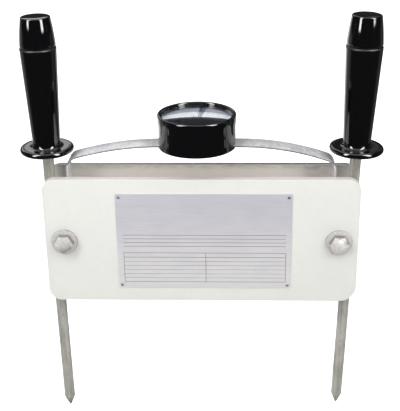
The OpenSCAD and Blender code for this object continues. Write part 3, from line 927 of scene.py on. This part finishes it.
@dataclass
class Boards:
    """The two insulating boards."""

    width: float = 264 * MM
    height: float = 112.6 * MM
    thickness: float = 6.4 * MM
    gap: float = 27 * MM
    low: float = 121.5 * MM
    corner: float = 11 * MM
    cut_corner: float = 14.5 * MM
    edge: float = 0.5 * MM

    def round_corner(self, piece: Piece, side: Side, high: bool, radius: float) -> None:
        """Rounds one corner of a board that is in edit mode.

        Args:
            piece: The board.
            side: Which side the corner is on.
            high: Whether it is an upper corner.
            radius: Radius of the corner.
        """
        x = side.value * self.width / 2
        z = self.low + (self.height if high else 0)

        def is_corner(first: Vector, second: Vector) -> bool:
            """Whether an edge runs through the board at this corner."""
            return all(abs(p.x - x) < SAME and abs(p.z - z) < SAME for p in (first, second))

        select_edges(piece, is_corner)
        bpy.ops.mesh.bevel(offset=radius, offset_type="OFFSET", segments=16, profile=0.5, affect="EDGES")

    def make(self, name: str, node: str, finish: BoardPaint) -> Piece:
        """Makes one board.

        Args:
            name: Name of the new piece.
            node: The solid it stands for.
            finish: Its paint, which also says which way the board looks.

        Returns:
            The board.
        """
        centre = (0, finish.facing * (self.gap + self.thickness) / 2, self.low + self.height / 2)
        piece = block(name, centre, (self.width, self.thickness, self.height))
        bpy.ops.object.mode_set(mode="EDIT")
        for high in (False, True):
            for side in Side:
                cut = side is Side.RIGHT and not high
                self.round_corner(piece, side, high, self.cut_corner if cut else self.corner)
        bpy.ops.object.mode_set(mode="OBJECT")
        round_edges(piece, self.edge)
        dress(piece, finish)
        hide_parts(node)
        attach(piece, "frame")
        return piece

    def build(self) -> list[Piece]:
        """Makes both boards.

        Returns:
            The front board and the back board.
        """
        front_paint = BoardPaint("front_board_paint", facing=-1.0)
        back_paint = BoardPaint("back_board_paint", top_heat=0.7, inner_heat=0.3, facing=1.0)
        return [
            self.make("painted_front_board", "front_board", front_paint),
            self.make("painted_back_board", "back_board", back_paint),
        ]


@dataclass
class LabelPlate:
    """The riveted plate, with a bare heading and an empty ruled form."""

    width: float = 147.2 * MM
    height: float = 87.2 * MM
    thickness: float = 0.7 * MM
    centre_x: float = 2.5 * MM
    top: float = 221.5 * MM
    board_face: float = -19.9 * MM
    rule: float = 0.32 * MM
    form: tuple[float, float, float, float] = (-65.7 * MM, 71.3 * MM, 140.2 * MM, 167.6 * MM)
    divider: float = 3.8 * MM
    first_row: float = 4.1 * MM
    row: float = 3.9 * MM
    thin_rows: int = 5
    thin_share: float = 0.6
    note_rules: tuple[float, ...] = (184.1 * MM, 180.7 * MM, 177.2 * MM, 173.8 * MM)

    def rule_at(self, left: float, right: float, low: float, high: float) -> Piece:
        """One printed rule on the plate's face.

        Args:
            left: Its left end.
            right: Its right end.
            low: Its lower edge.
            high: Its upper edge.

        Returns:
            The rule.
        """
        face = self.board_face - self.thickness
        centre = ((left + right) / 2, face, (low + high) / 2)
        return block("rule", centre, (right - left, 0.04 * MM, high - low))

    def rules(self) -> list[Piece]:
        """All the printed rules: note lines, then the form's rows and uprights.

        Returns:
            The rules, each a piece of its own.
        """
        left, right, low, high = self.form
        half = self.rule / 2
        made = [self.rule_at(left, right, z - half, z + half) for z in self.note_rules]
        thin = half * self.thin_share
        first = high - self.first_row
        rows = [(high, half), (first, half)]
        rows += [(first - self.row * (i + 1), thin) for i in range(self.thin_rows)]
        rows += [(low, half)]
        made += [self.rule_at(left, right, z - reach, z + reach) for z, reach in rows]
        made += [self.rule_at(x - half, x + half, low, high) for x in (left, self.divider, right)]
        return made

    def build(self) -> list[Piece]:
        """Makes the plate and its printing.

        Returns:
            The plate and its rules, joined into one piece.
        """
        centre = (self.centre_x, self.board_face - self.thickness / 2, self.top - self.height / 2)
        plate = block("label_sheet", centre, (self.width, self.thickness, self.height))
        bpy.ops.object.mode_set(mode="EDIT")
        select_edges(plate, lambda a, b: abs(a.x - b.x) < SAME and abs(a.z - b.z) < SAME)
        bpy.ops.mesh.bevel(offset=1.2 * MM, offset_type="OFFSET", segments=5, profile=0.5, affect="EDGES")
        bpy.ops.object.mode_set(mode="OBJECT")
        round_edges(plate, 0.15 * MM, 2)
        dress(plate, LabelMetal("label_metal"))
        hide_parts("label_plate")
        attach(plate, "frame")

        made = self.rules()
        deselect()
        for rule in made:
            rule.select_set(True)
        bpy.context.view_layer.objects.active = made[0]
        bpy.ops.object.join()
        printing = named("label_rules")
        dress(printing, INK)
        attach(printing, "frame")
        return [plate, printing]


@dataclass
class Handle:
    """One moulded grip with its hand guard and cap, and the prod below it."""

    side: Side
    lean: float
    point_rise: float
    guard_rise: float
    rod_offset: float
    pit: tuple[float, float, float] | None = None
    bolt_x: float = 115.5 * MM
    bolt_z: float = 177.7 * MM
    board_top: float = 234.1 * MM
    rod_r: float = 4.75 * MM
    stem_r: float = 4 * MM
    point_l: float = 9.5 * MM
    tip_r: float = 0.8 * MM
    boss_r: float = 8 * MM
    boss_half: float = 5.25 * MM
    guard_r: float = 22.385 * MM
    guard_t: float = 5.0 * MM
    grip_low_r: float = 11.4 * MM
    grip_top_r: float = 14.9 * MM
    grip_l: float = 83.8 * MM
    cap_l: float = 24.6 * MM
    cap_low_r: float = 14.6 * MM
    cap_top_r: float = 12.1 * MM
    cap_bulge: float = 0.3 * MM
    socket_r: float = 10 * MM
    socket_depth: float = 20 * MM
    stem_rise: float = 11.1 * MM

    @property
    def tilt(self) -> float:
        """The prod's lean as an angle about +Y, in radians."""
        return math.radians(self.side.value * self.lean)

    @property
    def rod_axis(self) -> Matrix:
        """The place of a piece that stands on the rod's axis, level with the bolt.

        Returns:
            The turn and shift from the piece's own origin.
        """
        sign = self.side.value
        swivel = Matrix.Translation((sign * self.bolt_x, 0, self.bolt_z))
        offset = Matrix.Translation((sign * self.rod_offset, 0, 0))
        return swivel @ Matrix.Rotation(self.tilt, 4, "Y") @ offset

    def along(self, height: float) -> float:
        """Distance along the rod from the bolt's level to a height.

        Args:
            height: Height in the tester's frame.

        Returns:
            The distance, upwards positive.
        """
        lean = math.radians(self.lean)
        return (height - self.bolt_z + self.rod_offset * math.sin(lean)) / math.cos(lean)

    @property
    def guard_top(self) -> float:
        """Distance along the rod to the guard's top."""
        return self.along(self.board_top + self.guard_rise)

    def build_prod(self) -> Piece:
        """Makes the rod with its point and the boss that turns on the bolt.

        Returns:
            Rod and boss as one piece.
        """
        low = self.along(self.point_rise)
        shoulder = self.guard_top - self.guard_t
        top = self.guard_top + self.grip_l - self.socket_depth + self.stem_rise
        soft = 0.35 * MM
        rod = turned(
            f"steel_prod_{self.side.word}",
            [
                (0, low),
                (self.tip_r - soft, low + 0.02 * MM),
                (self.tip_r, low + soft),
                (self.rod_r - 0.25 * MM, low + self.point_l - 0.5 * MM),
                (self.rod_r - 0.05 * MM, low + self.point_l),
                (self.rod_r, low + self.point_l + 0.5 * MM),
                (self.rod_r, shoulder),
                (self.stem_r, shoulder),
                (self.stem_r, top),
                (0, top),
            ],
            steps=64,
            over=30,
        )
        put(rod, self.rod_axis)
        deselect()
        bpy.ops.mesh.primitive_cylinder_add(
            vertices=64,
            radius=self.boss_r,
            depth=2 * self.boss_half,
            location=(self.side.value * self.bolt_x, 0, self.bolt_z),
            rotation=(math.pi / 2, 0, 0),
        )
        boss = named("boss")
        bpy.ops.object.transform_apply(location=True, rotation=True, scale=True)
        round_edges(boss, 0.5 * MM, 2)
        take(rod)
        boss.select_set(True)
        bpy.ops.object.join()
        dress(rod, ProdSteel(f"prod_steel_{self.side.word}", pit=self.pit))
        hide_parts(f"prod_{self.side.word}")
        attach(rod, self.side.prod_body)
        return rod

    def grip_outline(self) -> list[Point]:
        """Half outline of guard and grip, from the bore round to the socket.

        Returns:
            Points as (radius, height above the guard's top).
        """
        bead = self.guard_t / 2
        rim = self.guard_r - bead
        fillet = 3 * MM
        disc = -0.3 * MM
        bore = self.stem_r + 0.1 * MM
        top = self.grip_l
        floor = top - self.socket_depth
        return (
            [(bore, -self.guard_t), (rim - 4 * MM, -self.guard_t)]
            + arc((rim, -bead), bead, -90, 90, 14)
            + [(rim - 0.5 * MM, -0.08 * MM), (rim - 1.0 * MM, disc + 0.04 * MM), (rim - 1.3 * MM, disc)]
            + [(rim - 1.5 * MM, disc), (self.grip_low_r + fillet + 0.3 * MM, disc)]
            + arc((self.grip_low_r + fillet, disc + fillet), fillet, -90, -180, 8)
            + [(self.grip_low_r + 0.12 * MM, 6 * MM), (self.grip_top_r, top - 1.1 * MM)]
            + arc((self.grip_top_r - 1.1 * MM, top - 1.1 * MM), 1.1 * MM, 0, 90, 6)
            + [(self.socket_r, top), (self.socket_r, floor), (bore, floor), (bore, -self.guard_t)]
        )

    def cap_outline(self) -> list[Point]:
        """Half outline of the cap, from its hollow over the spigot to the top.

        Returns:
            Points as (radius, height above the grip's top).
        """
        hollow = self.socket_r - 1.7 * MM
        spigot = self.socket_r - 0.1 * MM
        low = 0.35 * MM
        edge = 1.2 * MM
        foot = 1.5 * MM
        ceiling = 18 * MM
        spigot_low = -8 * MM
        side_top = self.cap_l - edge
        side = []
        steps = 12
        for i in range(steps + 1):
            share = i / steps
            reach = self.cap_low_r + (self.cap_top_r - self.cap_low_r) * share
            bulge = self.cap_bulge * math.sin(math.pi * share)
            side.append((reach + bulge, foot + (side_top - foot) * share))
        lean = math.atan2(side[-2][0] - side[-1][0], side[-1][1] - side[-2][1])
        corner = (self.cap_top_r - edge * math.cos(lean), side_top - edge * math.sin(lean) * 0.4)
        return (
            [(0, ceiling), (hollow, ceiling), (hollow, spigot_low)]
            + [(spigot, spigot_low), (spigot, low)]
            + [(self.cap_low_r - 1.0 * MM, low), (self.cap_low_r - 0.55 * MM, low + 0.15 * MM)]
            + side
            + arc(corner, edge, math.degrees(lean) + 8, 86, 7)
            + [(self.cap_top_r / 2, self.cap_l + 0.05 * MM), (0, self.cap_l + 0.1 * MM)]
        )

    def build(self) -> list[Piece]:
        """Makes prod, grip and cap.

        Returns:
            The three pieces.
        """
        rod = self.build_prod()
        word, body = self.side.word, self.side.prod_body
        grip = turned(f"moulded_grip_{word}", self.grip_outline())
        put(grip, self.rod_axis @ Matrix.Translation((0, 0, self.guard_top)))
        cap = turned(f"moulded_cap_{word}", self.cap_outline())
        put(cap, self.rod_axis @ Matrix.Translation((0, 0, self.guard_top + self.grip_l)))
        for piece, node in ((grip, f"grip_{word}"), (cap, f"cap_{word}")):
            dress(piece, HANDLE_BLACK)
            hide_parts(node)
            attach(piece, body)
        return [rod, grip, cap]


@dataclass
class MeterCase:
    """The round black case of the meter."""

    axis_x: float = -3 * MM
    base_z: float = 256.9 * MM
    radius: float = 32.49 * MM
    height: float = 28 * MM
    wall: float = 2.8 * MM
    waist: float = 0.65 * MM
    skirt: float = 2.8 * MM
    floor: float = 2.4 * MM
    ledge: float = 1.2 * MM
    dial_level: float = 21.2 * MM
    lip: float = 6.6 * MM

    def outline(self) -> list[Point]:
        """Half outline of the case, from under the middle of its floor round to the inside.

        Returns:
            Points as (radius, height above the case's foot).
        """
        r, h, neck = self.radius, self.height, self.radius - self.waist
        rim = self.wall / 2
        open_r = r - self.wall
        deep_r = open_r - self.ledge
        lip = h - self.lip
        return (
            [(0, self.skirt), (deep_r + 0.4 * MM, self.skirt), (deep_r + 0.4 * MM, 0)]
            + arc((r - 0.6 * MM, 0.5 * MM), 0.5 * MM, -90, 0, 4)
            + [(r - 0.12 * MM, 1.4 * MM), (r - 0.22 * MM, 2.1 * MM), (r - 0.4 * MM, 3.0 * MM)]
            + [(neck + 0.12 * MM, h / 4), (neck, h / 2), (neck + 0.02 * MM, lip - 5 * MM)]
            + [(neck + 0.12 * MM, lip - 3 * MM), (r - 0.32 * MM, lip - 1 * MM)]
            + [(r - 0.1 * MM, lip + 1 * MM), (r, lip + 2.4 * MM)]
            + arc((r - rim, h - rim), rim, 0, 180, 18)
            + [(open_r, self.dial_level), (deep_r, self.dial_level)]
            + [(deep_r, self.skirt + self.floor), (0, self.skirt + self.floor)]
        )

    def build(self) -> list[Piece]:
        """Makes the case.

        Returns:
            The case alone.
        """
        case = turned("moulded_meter_case", self.outline(), steps=160, over=30)
        put(case, Matrix.Translation((self.axis_x, 0, self.base_z)))
        dress(case, CASE_BLACK)
        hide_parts("meter_case")
        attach(case, "frame")
        return [case]


@dataclass
class Fittings:
    """The solids that keep their own shape, or get only softer edges."""

    frame: dict[str, Any]
    meter_x: float
    bolt_edge: float = 1.2 * MM
    washer_edge: float = 0.3 * MM
    strip_edge: float = 0.2 * MM

    def soften(self) -> list[Piece]:
        """Puts copies with rounded edges in the place of bolts, washers, nuts and strips.

        Returns:
            The copies.
        """
        soft = (
            ("clamp_bolts", "plated_bolts", "bolt", self.bolt_edge, BRIGHT_ZINC),
            ("front_washers", "plated_front_washers", "bolt", self.washer_edge, BRIGHT_ZINC),
            ("back_washers", "plated_back_washers", "bolt", self.washer_edge, BRIGHT_ZINC),
            ("clamp_nuts", "plated_nuts", "bolt", self.washer_edge, BRIGHT_ZINC),
            ("meter_strip_left", "bent_strip_left", "strip", self.strip_edge, STRIP_ZINC),
            ("meter_strip_right", "bent_strip_right", "strip", self.strip_edge, STRIP_ZINC),
        )
        pieces = []
        for node, name, slot, width, finish in soft:
            piece = softened(self.frame, node, name, width)
            dress(piece, finish)
            pieces.append(piece)
        return pieces

    def coat(self) -> list[Piece]:
        """Gives the other solids their finishes.

        Returns:
            The solids.
        """
        coats: dict[Finish, tuple[str, ...]] = {
            RIVET_METAL: ("label_rivets",),
            SPACER_STEEL: ("front_spacers", "back_spacers"),
            LOAD_METAL: ("load_strip",),
            BRIGHT_ZINC: (
                "handle_washer_left",
                "handle_washer_right",
                "handle_nut_left",
                "handle_nut_right",
                "terminal_washers",
            ),
            BRASS: ("terminal_studs", "terminal_nuts", "lower_bridge", "upper_bridge", "hairspring"),
            IRON: ("magnet_yoke", "core_magnet", "spindle"),
            VARNISH: ("series_resistor",),
            COPPER_WIRE: ("moving_coil",),
            NEEDLE_PAINT: ("needle",),
            DialFace("dial_face", axis_x=self.meter_x): ("dial_plate",),
            COVER_BLACK: ("dial_mask",),
            CASE_BLACK: ("dial_ring", "glass_ring"),
            ClearGlass("clear_glass"): ("meter_glass",),
        }
        pieces = []
        for finish, nodes in coats.items():
            for node in nodes:
                dress(self.frame["nodes"][node], finish)
                pieces.append(self.frame["nodes"][node])
        return pieces

    def build(self) -> list[Piece]:
        """Dresses every solid that is left."""
        return self.soften() + self.coat()


# ---- Studio ---------------------------------------------------------------------


class Zone(Enum):
    """The heights at which the room has pale areas, in degrees from none to full."""

    LOW = (-1, -6)
    HIGH = (16, 18.2)


@dataclass(frozen=True)
class PaleArea:
    """One pale area of the room: its direction, half width and soft edge are in degrees."""

    turn: float
    half: float
    soft: float
    zone: Zone
    level: float


@dataclass
class Studio:
    """Pale floor, soft lamps, screens and a dark room for reflections, and the camera."""

    eye: tuple[float, float, float] = (31.1 * MM, -767.7 * MM, 535.6 * MM)
    yaw: float = -2.42
    pitch: float = 23.44
    roll: float = -0.86
    focal_px: float = 984.7
    long_side_px: float = 411
    sensor_mm: float = 36
    floor_size: float = 24
    floor_back: float = 4
    floor_drop: float = 0.1 * MM
    floor_near: float = 0.45
    floor_far: float = 1.6
    floor_glow: float = 0.2
    room_r: float = 6.0
    room_z: float = 0.25
    dark: float = 0.03
    ceiling: Point = (40, 60)
    ceiling_level: float = 0.8
    pale_areas: tuple[PaleArea, ...] = (
        PaleArea(-31, 23, 2.5, Zone.HIGH, 0.8),
        PaleArea(30, 19, 2.5, Zone.HIGH, 0.1),
        PaleArea(-24, 14, 12, Zone.LOW, 1.0),
        PaleArea(10, 24, 9, Zone.LOW, 0.4),
        PaleArea(-62, 4, 36, Zone.LOW, 0.26),
        PaleArea(68, 4, 22, Zone.LOW, 0.12),
    )
    fill: float = 0.16
    lamp_aim: tuple[float, float, float] = (0, 0, 0.22)
    screen_aim: tuple[float, float, float] = (0, 0, 0.3)
    screen_rise: float = 29
    screen_reach: float = 2.2
    screen_tall: float = 2.5
    screen_lift: float = 0.36
    screen_fade: float = 0.14
    glint: float = 10.0

    @staticmethod
    def unseen(piece: Piece, *kinds: str) -> None:
        """Hides a piece of the studio from the given kinds of rays."""
        for kind in kinds:
            setattr(piece, f"visible_{kind}", False)

    def floor(self) -> None:
        """Adds the pale floor, lit up towards plain white and left out of reflections."""
        deselect()
        place = (0, self.floor_back, -self.floor_drop)
        bpy.ops.mesh.primitive_plane_add(size=self.floor_size, location=place)
        floor = named("floor")
        shades = Shades("pale_floor")
        path = shades.add("ShaderNodeLightPath")
        seen = shades.sum("MAXIMUM", path.outputs["Is Camera Ray"], path.outputs["Is Transmission Ray"])
        away = shades.add("ShaderNodeVectorMath", {0: shades.place}, operation="LENGTH").outputs["Value"]
        glow = shades.between(away, self.floor_near, self.floor_far, self.floor_glow, 1.0)
        seen = shades.times(seen, glow)
        matt = shades.add("ShaderNodeBsdfDiffuse", {"Color": (0.8, 0.8, 0.8, 1)})
        lift = shades.add("ShaderNodeEmission", {"Color": (1, 1, 1, 1), "Strength": seen})
        shades.close(shades.add("ShaderNodeAddShader", {0: matt.outputs[0], 1: lift.outputs[0]}))
        floor.data.materials.append(shades.material)
        self.unseen(floor, "glossy")

    def room(self) -> None:
        """Adds the dark room that polished pieces mirror, with its pale areas and pale ceiling."""
        deselect()
        bpy.ops.mesh.primitive_uv_sphere_add(
            segments=64, ring_count=32, radius=self.room_r, location=(0, 0, self.room_z)
        )
        room = named("room")
        shades = Shades("room_walls")
        way = shades.add("ShaderNodeVectorMath", {0: shades.place}, operation="NORMALIZE").outputs[0]
        split = shades.add("ShaderNodeSeparateXYZ", {0: way})
        right, back, up = split.outputs[0], split.outputs[1], split.outputs[2]
        rise = shades.times(shades.sum("ARCSINE", up), DEGREES)
        turn = shades.times(shades.sum("ARCTAN2", right, back), DEGREES)
        zones = {zone: shades.between(rise, *zone.value) for zone in Zone}
        overhead = shades.between(rise, *self.ceiling, 0, self.ceiling_level)
        strength = shades.sum("MAXIMUM", overhead, self.dark)
        for area in self.pale_areas:
            pale = shades.times(shades.near(turn, area.turn, area.half, area.soft), area.level)
            strength = shades.sum("MAXIMUM", strength, shades.times(pale, zones[area.zone]))
        room.data.materials.append(shades.glow(strength))
        self.unseen(room, "camera", "diffuse", "volume_scatter", "shadow")

    def softbox(self, name: str, turn: float, width: float) -> None:
        """Adds a tall white screen that only reflections show, fading out at its sides and foot.

        Args:
            name: Name of the screen.
            turn: Its direction from the front in degrees, to the right.
            width: Its width in metres.
        """
        rise, side = math.radians(self.screen_rise), math.radians(turn)
        level = math.cos(rise)
        way = Vector((math.sin(side) * level, -math.cos(side) * level, math.sin(rise)))
        place = way * self.screen_reach
        place.z += self.screen_lift
        deselect()
        bpy.ops.mesh.primitive_plane_add(size=1, location=(0, 0, 0))
        screen = named(name)
        screen.scale = (width, self.screen_tall, 1)
        bpy.ops.object.transform_apply(location=False, rotation=False, scale=True)
        screen.location = place
        screen.rotation_euler = (Vector(self.screen_aim) - place).to_track_quat("Z", "Y").to_euler()
        shades = Shades(name)
        across, up, _ = shades.axes()
        foot = -self.screen_tall / 2
        strength = shades.between(up, foot, foot + self.screen_fade, 0, self.glint)
        strength = shades.times(strength, shades.near(across, 0, 0.25 * width, 0.25 * width))
        screen.data.materials.append(shades.glow(strength))
        self.unseen(screen, "camera", "diffuse", "transmission", "volume_scatter", "shadow")

    def world(self) -> None:
        """Surrounds the scene with even light and a white background.

        Reflections and what shows through glass end at the room, so they never see it.
        """
        world = bpy.data.worlds.new("studio")
        bpy.context.scene.world = world
        world.use_nodes = True
        tree = world.node_tree
        tree.nodes.clear()
        path = tree.nodes.new("ShaderNodeLightPath")
        level = tree.nodes.new("ShaderNodeMapRange")
        tree.links.new(path.outputs["Is Camera Ray"], level.inputs["Value"])
        level.inputs["To Min"].default_value = self.fill
        level.inputs["To Max"].default_value = 1.0
        back = tree.nodes.new("ShaderNodeBackground")
        tree.links.new(level.outputs[0], back.inputs["Strength"])
        out = tree.nodes.new("ShaderNodeOutputWorld")
        tree.links.new(back.outputs[0], out.inputs["Surface"])

    def lamp(self, name: str, place: Sequence[float], size: Point, watts: float) -> None:
        """Adds one rectangular soft lamp that reflections don't show.

        Args:
            name: Name of the lamp.
            place: Where it stands.
            size: Its width and height.
            watts: Its power.
        """
        deselect()
        bpy.ops.object.light_add(type="AREA", location=tuple(place))
        lamp = bpy.context.object
        lamp.name = name
        lamp.data.shape = "RECTANGLE"
        lamp.data.size, lamp.data.size_y = size
        lamp.data.energy = watts
        way = Vector(self.lamp_aim) - Vector(place)
        lamp.rotation_euler = way.to_track_quat("-Z", "Y").to_euler()
        self.unseen(lamp, "glossy")

    def lamps(self) -> None:
        """Adds two tall lamps at the front, one above, two behind, and the screens."""
        tall, low = (0.8, 2.0), (0.8, 1.2)
        self.lamp("key_left", (-1.25, -1.25, 1.42), tall, 20.5)
        self.lamp("key_right", (1.38, -1.15, 1.42), tall, 18)
        self.lamp("top", (0, -1.1, 1.95), (1.6, 1.2), 12)
        self.lamp("back_left", (-1.6, 1.5, 1.2), low, 14)
        self.lamp("back_right", (1.6, 1.5, 1.2), low, 14)
        self.softbox("screen_left", -49, 0.8)
        self.softbox("screen_right", 53, 0.95)

    def camera(self) -> None:
        """Adds the camera."""
        yaw, pitch, roll = (math.radians(a) for a in (self.yaw, self.pitch, self.roll))
        flat = math.cos(pitch)
        forward = Vector((math.sin(yaw) * flat, math.cos(yaw) * flat, -math.sin(pitch)))
        level = Vector((math.cos(yaw), -math.sin(yaw), 0))
        upright = level.cross(forward)
        right = level * math.cos(roll) + upright * math.sin(roll)
        up = upright * math.cos(roll) - level * math.sin(roll)
        deselect()
        bpy.ops.object.camera_add(location=self.eye)
        camera = bpy.context.object
        camera.rotation_euler = Matrix((right, up, -forward)).transposed().to_euler()
        camera.data.sensor_width = self.sensor_mm
        camera.data.lens = self.sensor_mm * self.focal_px / self.long_side_px
        bpy.context.scene.camera = camera

    def build(self) -> None:
        """Sets up the whole studio."""
        self.floor()
        self.room()
        self.world()
        self.lamps()
        self.camera()
        bpy.context.scene.view_settings.view_transform = "Standard"


def main() -> None:
    """Builds the tester's looks one assembly after another and reports each piece."""
    logging.basicConfig(level=logging.INFO, format="%(name)s: %(message)s")
    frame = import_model()
    left = Handle(Side.LEFT, lean=0.7, point_rise=0, guard_rise=22.7 * MM, rod_offset=11.9 * MM)
    right = Handle(
        Side.RIGHT,
        lean=1.65,
        point_rise=5.4 * MM,
        guard_rise=22.8 * MM,
        rod_offset=10.7 * MM,
        pit=(121.3 * MM, -4.7 * MM, 112.6 * MM),
    )
    meter = MeterCase()
    for assembly in (Boards(), LabelPlate(), left, right, meter, Fittings(frame, meter.axis_x)):
        for piece in assembly.build():
            log.info("%s: %d faces, %s", piece.name, len(piece.data.polygons), piece.active_material.name)
    Studio().build()


if __name__ == "__main__":
    main()
